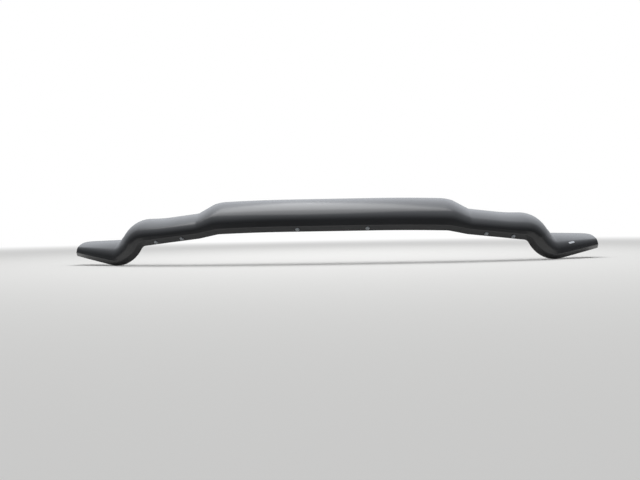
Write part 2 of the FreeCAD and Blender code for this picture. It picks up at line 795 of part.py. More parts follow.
def make_badge():
    """Plain rounded plate on the face of the right wing."""
    station = Station(spine.distance_to(wing_place("badge")))
    nose = station.outline()[-2]
    start_heading = 90 - size("lean")
    point, heading = nose.at(math.radians(start_heading - size("badge_slope")) * nose.radius)
    rearward = station.direction(math.cos(heading), math.sin(heading))
    outward = station.along.cross(rearward).normalize()
    body = new_body("badge_plate")
    sketch = new_sketch(body, "badge_outline", "XY_Plane")
    half, end = size("badge_width") / 2, (size("badge_length") - size("badge_width")) / 2
    chain = Chain(Vector(-end, -half, 0), 0).line(2 * end).arc(half, 180).line(2 * end).arc(half, 180)
    drawn = draw_loop(sketch, chain.pieces)
    bind(sketch, "EndRadius", "Sizes.badge_width / 2", "Radius", drawn[1][0], half)
    bind(sketch, "Straight", "Sizes.badge_length - Sizes.badge_width", "Distance", drawn[0][0], 2 * end)
    pad(body, "badge_blank", sketch, "Sizes.badge_height")
    body.Placement = axes_placement(station.point(point) + outward * (size("seat_gap") * 2), station.along, outward)
    return body


def tip_trim(body, station):
    """Pocket that rounds the rear outer corner of a wing, seen from above."""
    edge = station.outline()[-1].end
    corner = station.point(edge)
    before = Station(spine.length - size("tip_corner_radius") * 3)
    rear = before.point(before.outline()[-1].end)
    towards_middle = Vector(rear.x - corner.x, rear.y - corner.y, 0).normalize()
    towards_front = Vector(0, -1, 0)
    half = towards_middle.getAngle(towards_front) / 2
    radius = size("tip_corner_radius")
    reach = radius / math.tan(half)
    flat = Vector(corner.x, corner.y, 0)
    bisector = (towards_middle + towards_front).normalize()
    centre = flat + bisector * (radius / math.sin(half))
    outside = flat - bisector * SPARE
    first, last = flat + towards_middle * reach, flat + towards_front * reach
    sketch = new_sketch(body, "tip_trim_sketch", "XY_Plane")
    draw_loop(sketch, [Piece(first, last, centre, -(math.pi - 2 * half)), Piece(last, outside), Piece(outside, first)])
    return cut(body, "tip_trim", sketch, 4 * SIZES["ramp_drop"])


def make_shield(seats):
    """The formed sheet: one half lofted and trimmed, drilled, then mirrored to the other half."""
    body = new_body("shield")
    stations = [Station(distance) for distance in section_distances()]
    features = [loft(body, "shield_half", stations, draw_section)]
    doc.recompute()
    features.append(tip_trim(body, stations[-1]))
    for number, seat in enumerate(seats, start=1):
        features.append(hole(body, f"flange_hole_{number}", seat.screw, "screw_hole", CUT_DEPTH))
    whole = body.newObject("PartDesign::Mirrored", "shield_whole")
    whole.Originals = features
    whole.MirrorPlane = (origin_plane(body, "YZ_Plane"), [""])
    body.Tip = whole
    return body


def check(parts):
    """Stops if an object failed or a piece has no sound shape."""
    for item in doc.Objects:
        if {"Invalid", "Error"} & set(item.State):
            raise RuntimeError(f"{item.Name} failed: {item.State}")
    for part in parts:
        if part.Shape.isNull() or not part.Shape.isValid() or part.Shape.Volume <= 0:
            raise RuntimeError(f"{part.Label} has no sound shape")


def export(parts):
    os.makedirs("parts", exist_ok=True)
    for part in parts:
        part.Shape.exportStep(os.path.join("parts", f"{part.Label}.step"))


datum = Vector()
spine = Spine()
central = FlangeSeat(dome_place("central_bracket"))
datum = central.bracket.multVec(hood_hole_centre(central.foot_angle))
datum.x = 0
BRACKETS = {
    "central": dome_place("central_bracket"),
    "inner_shoulder": shoulder_place("inner_bracket"),
    "outer_shoulder": shoulder_place("outer_bracket"),
}
PADS = {
    "first": dome_place("first_pad"),
    "second": dome_place("second_pad"),
    "third": dome_place("third_pad"),
    "shoulder": shoulder_place("shoulder_pad"),
}


def main():
    make_sheet()
    seats = {name: FlangeSeat(place) for name, place in BRACKETS.items()}
    parts = [make_shield(seats.values())]
    for name, seat in seats.items():
        for side, placement in both_sides(seat.bracket).items():
            parts.append(make_bracket(f"{name}_bracket_{side}", seat, placement))
    parts += make_fasteners(list(seats.values()))
    for name, place in PADS.items():
        for side in ("left", "right"):
            parts.append(make_pad(f"{name}_pad_{side}", place, side))
    parts += make_tapes() + [make_badge()]
    doc.recompute()
    check(parts)
    export(parts)
    for name, seat in seats.items():
        point = seat.bracket.multVec(hood_hole_centre(seat.foot_angle))
        print(f"{name} hood hole at {point.x:.4f}, {point.y:.4f}, {point.z:.4f}")
    for part in parts:
        box = part.Shape.BoundBox
        print(f"{part.Label}: {len(part.Shape.Solids)} solid, {part.Shape.Volume:.1f} mm3, "
              f"{box.XLength:.2f} x {box.YLength:.2f} x {box.ZLength:.2f}")


main()
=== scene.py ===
"""Hood shield: the formed sheet with its brackets, screws, pads and tapes.

All sizes are in millimetres and degrees until a mesh is made. +X runs to the right as one faces
the shield's front, +Y rearward and +Z up.
"""
import logging
import math
from dataclasses import astuple, dataclass, field
from enum import Enum
from typing import Any, Callable, ClassVar, Sequence

import bpy
from mathutils import Matrix, Quaternion, Vector


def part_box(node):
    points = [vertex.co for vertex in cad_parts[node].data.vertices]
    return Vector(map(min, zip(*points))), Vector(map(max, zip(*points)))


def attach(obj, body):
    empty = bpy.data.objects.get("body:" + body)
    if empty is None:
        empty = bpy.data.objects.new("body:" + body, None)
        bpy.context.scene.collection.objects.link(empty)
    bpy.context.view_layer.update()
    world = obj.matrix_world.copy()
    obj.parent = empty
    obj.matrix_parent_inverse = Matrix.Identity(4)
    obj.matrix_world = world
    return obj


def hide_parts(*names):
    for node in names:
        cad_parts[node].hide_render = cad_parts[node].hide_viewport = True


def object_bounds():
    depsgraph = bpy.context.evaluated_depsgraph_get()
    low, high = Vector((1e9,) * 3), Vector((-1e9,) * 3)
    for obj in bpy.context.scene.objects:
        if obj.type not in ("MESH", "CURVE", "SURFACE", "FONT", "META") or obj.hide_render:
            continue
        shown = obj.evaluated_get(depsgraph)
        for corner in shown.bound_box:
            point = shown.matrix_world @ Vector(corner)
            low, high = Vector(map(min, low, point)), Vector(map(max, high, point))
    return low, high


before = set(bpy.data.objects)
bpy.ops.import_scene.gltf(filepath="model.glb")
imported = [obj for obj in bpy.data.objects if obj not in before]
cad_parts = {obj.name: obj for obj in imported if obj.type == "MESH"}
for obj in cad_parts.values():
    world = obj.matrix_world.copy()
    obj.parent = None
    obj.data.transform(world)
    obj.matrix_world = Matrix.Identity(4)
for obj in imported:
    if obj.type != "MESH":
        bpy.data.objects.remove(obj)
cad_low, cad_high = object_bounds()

log = logging.getLogger("hood_shield")

MM = 0.001
BODY = "root"
REARWARD = Vector((0.0, 1.0, 0.0))
FORWARD_IN_PLAN = Vector((0.0, -1.0))
WHITE = (1.0, 1.0, 1.0, 1.0)
# The sRGB curve: a straight line up to the knee and a power above it
SRGB_KNEE, SRGB_SLOPE, SRGB_OFFSET, SRGB_POWER = 0.04045, 12.92, 0.055, 2.4
# Sockets of a Mix node that mixes colours
COLOUR_A, COLOUR_B, COLOUR_OUT = 6, 7, 2


def linear_colour(hex_colour: str) -> tuple[float, float, float, float]:
    """Turns an sRGB hex value such as "#17181a" into the linear colour that shaders take.

    Args:
        hex_colour: Six hex digits after a hash sign.

    Returns:
        Linear red, green and blue, and an alpha of one.
    """
    channels = []
    for start in (1, 3, 5):
        value = int(hex_colour[start:start + 2], 16) / 255
        curved = ((value + SRGB_OFFSET) / (1 + SRGB_OFFSET)) ** SRGB_POWER
        channels.append(value / SRGB_SLOPE if value <= SRGB_KNEE else curved)
    return (channels[0], channels[1], channels[2], 1.0)


# Trees, objects and meshes

def add_node(tree: bpy.types.NodeTree, kind: str, inputs: dict[int | str, Any] | None = None,
             **settings: Any) -> bpy.types.Node:
    """Adds one node to a shader or geometry tree.

    Args:
        tree: The tree that gets the node.
        kind: The node's type name.
        inputs: Input names or numbers, each with a value, or with the socket to link or the node
            whose first output is linked.
        **settings: Properties of the node.

    Returns:
        The new node.
    """
    node = tree.nodes.new(kind)
    for name, value in settings.items():
        setattr(node, name, value)
    for key, value in (inputs or {}).items():
        source = value.outputs[0] if isinstance(value, bpy.types.Node) else value
        if isinstance(source, bpy.types.NodeSocket):
            tree.links.new(source, node.inputs[key])
        else:
            node.inputs[key].default_value = source
    return node


def new_tree(name: str, inputs: dict[str, str]) -> tuple[bpy.types.GeometryNodeTree, Any]:
    """Starts a geometry tree with named inputs and one output.

    Args:
        name: Name of the tree.
        inputs: Kind of each input, by its name.

    Returns:
        The tree, and the sockets that give its inputs.
    """
    tree = bpy.data.node_groups.new(name, "GeometryNodeTree")
    for label, kind in inputs.items():
        tree.interface.new_socket(label, in_out="INPUT", socket_type=f"NodeSocket{kind}")
    tree.interface.new_socket("Pieces", in_out="OUTPUT", socket_type="NodeSocketGeometry")
    return tree, add_node(tree, "NodeGroupInput").outputs


def end_tree(tree: bpy.types.GeometryNodeTree, geometry: bpy.types.Node,
             material: bpy.types.NodeSocket) -> None:
    """Ends a geometry tree in real meshes that have their material.

    Args:
        tree: The tree to end.
        geometry: Node that gives the finished geometry.
        material: The tree's material input.
    """
    real = add_node(tree, "GeometryNodeRealizeInstances", {0: geometry})
    dressed = add_node(tree, "GeometryNodeSetMaterial", {"Geometry": real, "Material": material})
    add_node(tree, "NodeGroupOutput", {0: dressed})


def add_modifier(item: bpy.types.Object, name: str, kind: str, **settings: Any) -> bpy.types.Modifier:
    """Adds a modifier to an object.

    Args:
        item: The object.
        name: Name of the modifier.
        kind: The modifier's type name.
        **settings: Properties of the modifier.

    Returns:
        The new modifier.
    """
    modifier = item.modifiers.new(name, kind)
    for key, value in settings.items():
        setattr(modifier, key, value)
    return modifier


def set_inputs(modifier: bpy.types.NodesModifier, values: dict[str, Any]) -> None:
    """Sets a geometry tree's inputs by their sockets' identifiers.

    Args:
        modifier: Modifier that holds the tree.
        values: Value of each input, by its name.
    """
    for socket in modifier.node_group.interface.items_tree:
        if socket.in_out == "INPUT" and socket.name in values:
            modifier[socket.identifier] = values[socket.name]


def new_object(name: str, mesh: bpy.types.Mesh) -> bpy.types.Object:
    """Links a new object with this mesh at the origin.

    Args:
        name: Name of the object.
        mesh: Its mesh, already in place.

    Returns:
        The new object.
    """
    item = bpy.data.objects.new(name, mesh)
    bpy.context.scene.collection.objects.link(item)
    return item


def mesh_of(name: str, points: Sequence[Vector], faces: Sequence[Sequence[int]] = ()) -> bpy.types.Mesh:
    """Makes a mesh in metres from points in millimetres.

    Args:
        name: Name of the mesh.
        points: Corners in millimetres.
        faces: Corner numbers of each face.

    Returns:
        The new mesh.
    """
    mesh = bpy.data.meshes.new(name)
    mesh.from_pydata([tuple(point * MM) for point in points], [], faces)
    mesh.update()
    return mesh


def baked(item: bpy.types.Object) -> bpy.types.Object:
    """Turns an object's modifiers into a plain mesh and removes them.

    Args:
        item: Object with live modifiers.

    Returns:
        The same object with its finished mesh.
    """
    graph = bpy.context.evaluated_depsgraph_get()
    mesh = bpy.data.meshes.new_from_object(item.evaluated_get(graph))
    item.modifiers.clear()
    item.data = mesh
    return item


def smooth(mesh: bpy.types.Mesh, sharp_above: float = 38.0) -> None:
    """Shades a mesh smooth except across edges that turn by more than an angle in degrees."""
    mesh.shade_smooth()
    mesh.set_sharp_from_angle(angle=math.radians(sharp_above))


def settle(item: bpy.types.Object, material: bpy.types.Material, slot: str, *nodes: str) -> bpy.types.Object:
    """Gives a finished piece its shading, material and body, and hides the solids that it stands for.

    Args:
        item: The finished piece.
        material: Its only material.
        slot: The record's material slot; not used.
        *nodes: Solids that the piece replaces.

    Returns:
        The same piece.
    """
    smooth(item.data)
    item.data.materials.clear()
    item.data.materials.append(material)
    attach(item, BODY)
    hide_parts(*nodes)
    log.info("%s: %d faces", item.name, len(item.data.polygons))
    return item


class Ends(Enum):
    """How a skin over rings of points is closed."""

    LOOP = "the last ring joins the first"
    POLES = "a point in the middle of each end ring"
    FACES = "one face over each end ring"


def skinned(name: str, rings: Sequence[Sequence[Vector]], ends: Ends) -> bpy.types.Mesh:
    """Skins rings of points with four-sided faces.

    Args:
        name: Name of the mesh.
        rings: Rings of equally many points, which run anticlockwise as seen from the last ring.
        ends: How the skin is closed.

    Returns:
        The new mesh.
    """
    around, count = len(rings[0]), len(rings)
    points = [point for ring in rings for point in ring]
    sides = [(number, (number + 1) % around) for number in range(around)]
    last = (count - 1) * around
    faces: list[Sequence[int]] = []
    for index in range(count if ends is Ends.LOOP else count - 1):
        low, high = index * around, (index + 1) % count * around
        faces += [(low + a, low + b, high + b, high + a) for a, b in sides]
    if ends is Ends.FACES:
        faces += [list(reversed(range(around))), list(range(last, last + around))]
    if ends is Ends.POLES:
        low, high = len(points), len(points) + 1
        points += [sum(ring, Vector()) / around for ring in (rings[0], rings[-1])]
        faces += [(low, b, a) for a, b in sides]
        faces += [(high, last + a, last + b) for a, b in sides]
    return mesh_of(name, points, faces)


@dataclass(frozen=True)
class Ring:
    """One ring of a turned piece, which is a polygon if it has sides."""

    radius: float
    height: float
    sides: int = 0

    def reach(self, angle: float) -> float:
        """Finds how far the ring is from the axis.

        Args:
            angle: Angle about the axis in radians.

        Returns:
            The distance from the axis.
        """
        if not self.sides:
            return self.radius
        sector = 2 * math.pi / self.sides
        off_middle = (angle % sector) - sector / 2
        return self.radius * math.cos(sector / 2) / math.cos(off_middle)


def turned_mesh(name: str, rings: Sequence[Ring], around: int, ends: Ends = Ends.POLES,
                ridge: Callable[[float, float], float] | None = None) -> bpy.types.Mesh:
    """Skins rings about the Z axis.

    Args:
        name: Name of the mesh.
        rings: Rings in order, so that the outside lies to the right of their way upwards.
        around: Points in each ring.
        ends: How the skin is closed.
        ridge: Extra radius at an angle and a height, such as a thread.

    Returns:
        The new mesh.
    """
    angles = [2 * math.pi * number / around for number in range(around)]
    loops = []
    for ring in rings:
        reaches = [ring.reach(angle) + (ridge(angle, ring.height) if ridge else 0.0) for angle in angles]
        loops.append([Vector((math.cos(angle) * reach, math.sin(angle) * reach, ring.height))
                      for angle, reach in zip(angles, reaches)])
    return skinned(name, loops, ends)


# Seats

@dataclass(frozen=True)
class Seat:
    """A place on the sheet: its local Z axis is square to the sheet, and X runs along it."""

    place: Matrix

    @classmethod
    def facing(cls, origin: Vector, along: Vector, outward: Vector) -> "Seat":
        """Seat at a point, whose X axis runs along and whose Z axis points outward."""
        turn = Matrix((along, outward.cross(along), outward)).transposed().to_4x4()
        return cls(Matrix.Translation(origin) @ turn)

    def mirrored(self) -> "Seat":
        """Finds the same seat on the other half of the sheet.

        Returns:
            The mirror image, with its X axis still to the right.
        """
        origin, along, outward = self.place.translation, self.place.col[0], self.place.col[2]
        return Seat.facing(Vector((-origin.x, origin.y, origin.z)), Vector((along.x, -along.y, -along.z)),
                           Vector((-outward.x, outward.y, outward.z)))

    def raised(self, height: float) -> "Seat":
        """The same seat moved along its own Z axis."""
        return Seat(self.place @ Matrix.Translation((0.0, 0.0, height)))


def scatter_tree() -> bpy.types.GeometryNodeTree:
    """Builds the tree that puts a copy of a pattern on every seat, turned as the seat is.

    Returns:
        A tree with inputs for the pattern and the material.
    """
    tree, given = new_tree("pattern_on_seats",
                           {"Seats": "Geometry", "Pattern": "Object", "Material": "Material"})
    pattern = add_node(tree, "GeometryNodeObjectInfo", {"Object": given["Pattern"]})
    turn = add_node(tree, "GeometryNodeInputNamedAttribute", {"Name": "turn"}, data_type="FLOAT_VECTOR")
    rotation = add_node(tree, "FunctionNodeEulerToRotation", {0: turn})
    points = add_node(tree, "GeometryNodeMeshToPoints", {"Mesh": given["Seats"]})
    copies = add_node(tree, "GeometryNodeInstanceOnPoints",
                      {"Points": points, "Instance": pattern.outputs["Geometry"], "Rotation": rotation})
    end_tree(tree, copies, given["Material"])
    return tree


def scattered(name: str, pattern: bpy.types.Mesh, seats: Sequence[Seat],
              material: bpy.types.Material) -> bpy.types.Object:
    """Copies a pattern to its seats and bakes the copies into one mesh.

    Args:
        name: Name of the object.
        pattern: Mesh of one copy about its own axis.
        seats: Where the copies go.
        material: Finish of all copies.

    Returns:
        The object with all copies.
    """
    mesh = mesh_of(f"{name}_seats", [seat.place.translation for seat in seats])
    turn = mesh.attributes.new("turn", "FLOAT_VECTOR", "POINT")
    for number, seat in enumerate(seats):
        turn.data[number].vector = tuple(seat.place.to_euler())
    item = new_object(name, mesh)
    source = new_object(f"{name}_pattern", pattern)
    modifier = add_modifier(item, "scatter", "NODES", node_group=scatter_tree())
    set_inputs(modifier, {"Pattern": source, "Material": material})
    baked(item)
    bpy.data.objects.remove(source)
    return item


# Crease line and sections

def ease(share: float) -> float:
    """Smooth step from 0 to 1."""
    share = min(1.0, max(0.0, share))
    return share * share * (3 - 2 * share)


@dataclass(frozen=True)
class Run:
    """A straight run or an arc of the crease line, seen from the front."""

    start: Vector
    heading: float
    length: float
    turn: float = 0.0

    def at(self, distance: float) -> tuple[Vector, float]:
        """Follows the run.

        Args:
            distance: Distance from its start.

        Returns:
            The point there, and the heading in radians.
        """
        if not self.turn:
            way = Vector((math.cos(self.heading), math.sin(self.heading)))
            return self.start + way * distance, self.heading
        bend = self.turn / self.length
        heading = self.heading + bend * distance
        way = Vector((math.sin(heading) - math.sin(self.heading), math.cos(self.heading) - math.cos(heading)))
        return self.start + way / bend, heading


@dataclass(frozen=True)
class Section:
    """Section of the sheet at one place: its reach from the crease and the slopes of its top."""

    rise: float
    run: float
    face: float
    brow: float
    rear: float
    flange: float

    def blend(self, other: "Section", share: float) -> "Section":
        """Section between this one (share 0) and another (share 1)."""
        return Section(*(a + (b - a) * share for a, b in zip(astuple(self), astuple(other))))

    def radii(self, face_heading: float) -> tuple[float, float]:
        """Finds the nose arc and the top arc that end at the section's run and rise.

        Args:
            face_heading: Heading of the face in degrees.

        Returns:
            Radius of the nose and radius of the top.
        """
        start, brow, rear = (math.radians(angle) for angle in (face_heading, self.brow, self.rear))
        run = self.run - self.face * math.cos(start)
        rise = self.rise - self.face * math.sin(start)
        nose_run, nose_rise = math.sin(start) - math.sin(brow), math.cos(brow) - math.cos(start)
        top_run, top_rise = math.sin(brow) - math.sin(rear), math.cos(rear) - math.cos(brow)
        scale = nose_run * top_rise - top_run * nose_rise
        return (run * top_rise - top_run * rise) / scale, (nose_run * rise - nose_rise * run) / scale


@dataclass(frozen=True)
class Station:
    """One section plane along the crease line, with the directions of the sheet there."""

    across: float
    origin: Vector
    upward: Vector
    along: Vector
    section: Section

    def direction(self, heading: float) -> Vector:
        """Direction in the section plane at an angle in degrees from rearward towards upward."""
        angle = math.radians(heading)
        return REARWARD * math.cos(angle) + self.upward * math.sin(angle)

    def swing(self, radius: float, flatter: float, steeper: float) -> Vector:
        """Way along an arc of the outline, between its steeper and its flatter heading in degrees."""
        return (self.direction(flatter + 90) - self.direction(steeper + 90)) * radius

    @property
    def rear_edge(self) -> Vector:
        """Rear edge of the sheet's outer side."""
        return self.origin + self.direction(0) * self.section.run + self.upward * self.section.rise


@dataclass(frozen=True)
class SheetForm:
    """Rule of the formed sheet: where the crease runs, and how the section changes along it."""

    dome_half_width: float = 367.0
    crown_share: float = 0.64
    crown_drop: float = 4.0
    step_width: float = 63.0
    step_drop: float = 13.0
    shoulder_width: float = 207.0
    shoulder_drop: float = 23.0
    ramp_width: float = 45.0
    ramp_drop: float = 74.0
    wing_width: float = 213.0
    wing_lift: float = 38.5
    corner_radii: tuple[float, ...] = (6000.0, 105.0, 90.0, 38.0, 94.3)
    leg_share: float = 0.98
    sweep_depth: float = 195.0
    sweep_power: float = 2.8
    blend_margin: float = 16.0
    lean: float = 3.0
    flange_angle: float = 45.0
    crease_radius: float = 4.0
    wall: float = 3.0
    tip_corner_radius: float = 26.0
    search_passes: int = 40
    dome: Section = Section(90.6, 105.0, 16.0, 35.0, 12.0, 16.0)
    shoulder: Section = Section(68.7, 92.0, 10.0, 33.0, 10.0, 16.0)
    ramp: Section = Section(80.3, 92.0, 14.0, 36.0, 12.0, 16.0)
    tip: Section = Section(38.0, 85.0, 8.0, 24.0, 1.0, 12.0)

    @property
    def face_heading(self) -> float:
        """Heading of the face in degrees."""
        return 90 - self.lean

    @property
    def crease_trim(self) -> float:
        """Length that the crease's rounding takes from the flange and from the face."""
        return self.crease_radius * math.tan(math.radians(90 + self.lean - self.flange_angle) / 2)

    def corners(self) -> list[Vector]:
        """Lists the corners of the crease line's right half, seen from the front.

        Returns:
            The corners from the middle to the tip.
        """
        crown = self.dome_half_width * self.crown_share
        steps = ((0.0, 0.0), (crown, 0.0), (self.dome_half_width - crown, -self.crown_drop),
                 (self.step_width, -self.step_drop), (self.shoulder_width, -self.shoulder_drop),
                 (self.ramp_width, -self.ramp_drop), (self.wing_width, self.wing_lift))
        points, place = [], Vector((0.0, 0.0))
        for step in steps:
            place = place + Vector(step)
            points.append(place)
        return points

    def runs(self) -> list[Run]:
        """Joins the legs of the crease line by arcs.

        Returns:
            Straight runs and arcs by turns, from the middle to the right tip.
        """
        corners = self.corners()
        legs = [b - a for a, b in zip(corners, corners[1:])]
        turns = [math.atan2(a.x * b.y - a.y * b.x, a.dot(b)) for a, b in zip(legs, legs[1:])]
        reach = [radius * math.tan(abs(turn) / 2) for radius, turn in zip(self.corner_radii, turns)]
        for number, leg in enumerate(legs[1:-1]):
            fit = min(1.0, self.leg_share * leg.length / (reach[number] + reach[number + 1]))
            reach[number] *= fit
            reach[number + 1] *= fit
        runs: list[Run] = []
        point, heading, before = corners[0], 0.0, 0.0
        for leg, turn, room in zip(legs, turns, reach):
            arc = room / math.tan(abs(turn) / 2) * abs(turn)
            for length, bend in ((leg.length - before - room, 0.0), (arc, turn)):
                runs.append(Run(point, heading, length, bend))
                point, heading = runs[-1].at(length)
            before = room
        runs.append(Run(point, heading, legs[-1].length - before))
        return runs

    def section_at(self, across: float) -> Section:
        """Blends the sections of dome, shoulder, ramp and tip.

        Args:
            across: Distance from the middle of the sheet.

        Returns:
            The section there.
        """
        step_start = self.dome_half_width - self.blend_margin
        shoulder_start = self.dome_half_width + self.step_width
        step_end = shoulder_start + self.blend_margin
        if across <= step_end:
            return self.dome.blend(self.shoulder, ease((across - step_start) / (step_end - step_start)))
        ramp_start = shoulder_start + self.shoulder_width / 2
        ramp_end = shoulder_start + self.shoulder_width + self.ramp_width + self.blend_margin
        if across <= ramp_end:
            return self.shoulder.blend(self.ramp, ease((across - ramp_start) / (ramp_end - ramp_start)))
        return self.ramp.blend(self.tip, (across - ramp_end) / (self.corners()[-1].x - ramp_end))

    def station(self, distance: float) -> Station:
        """Finds the section plane at a distance along the crease line.

        Args:
            distance: Distance from the middle of the sheet, negative on the left half.

        Returns:
            The station, measured from the crease in the middle of the sheet.
        """
        side = -1.0 if distance < 0 else 1.0
        left = abs(distance)
        runs = self.runs()
        for run in runs[:-1]:
            if left <= run.length:
                break
            left -= run.length
        else:
            run = runs[-1]
        point, slope = run.at(left)
        sweep = self.sweep_depth * (point.x / self.corners()[-1].x) ** self.sweep_power
        lean_back = self.sweep_power * sweep / point.x if point.x > 0 else 0.0
        cosine, sine = math.cos(slope), side * math.sin(slope)
        upward = Vector((-sine, 0.0, cosine))
        along = Vector((cosine, side * lean_back * cosine, sine)).normalized()
        return Station(point.x, Vector((side * point.x, sweep, point.y)), upward, along,
                       self.section_at(point.x))

    @property
    def length(self) -> float:
        """Length of the crease line from the middle to a tip."""
        return sum(run.length for run in self.runs())

    def station_across(self, across: float) -> Station:
        """Searches the right half for the section plane at a distance from the middle.

        Args:
            across: Distance from the middle of the sheet.

        Returns:
            The station there.
        """
        low, high = 0.0, self.length
        for _ in range(self.search_passes):
            middle = (low + high) / 2
            low, high = (middle, high) if self.station(middle).across < across else (low, middle)
        return self.station(low)


def sheet_shift(form: SheetForm) -> Vector:
    """Moves the form's own frame, with its origin at the crease, to the frame of the solids.

    Args:
        form: The rule of the sheet.

    Returns:
        The shift in millimetres.
    """
    low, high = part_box("shield")
    start = math.radians(form.face_heading)
    crease_front = form.crease_trim * math.cos(start) + form.crease_radius * (math.sin(start) - 1)
    return Vector((0.0, low.y / MM - crease_front, high.z / MM - form.dome.rise))


# The formed sheet

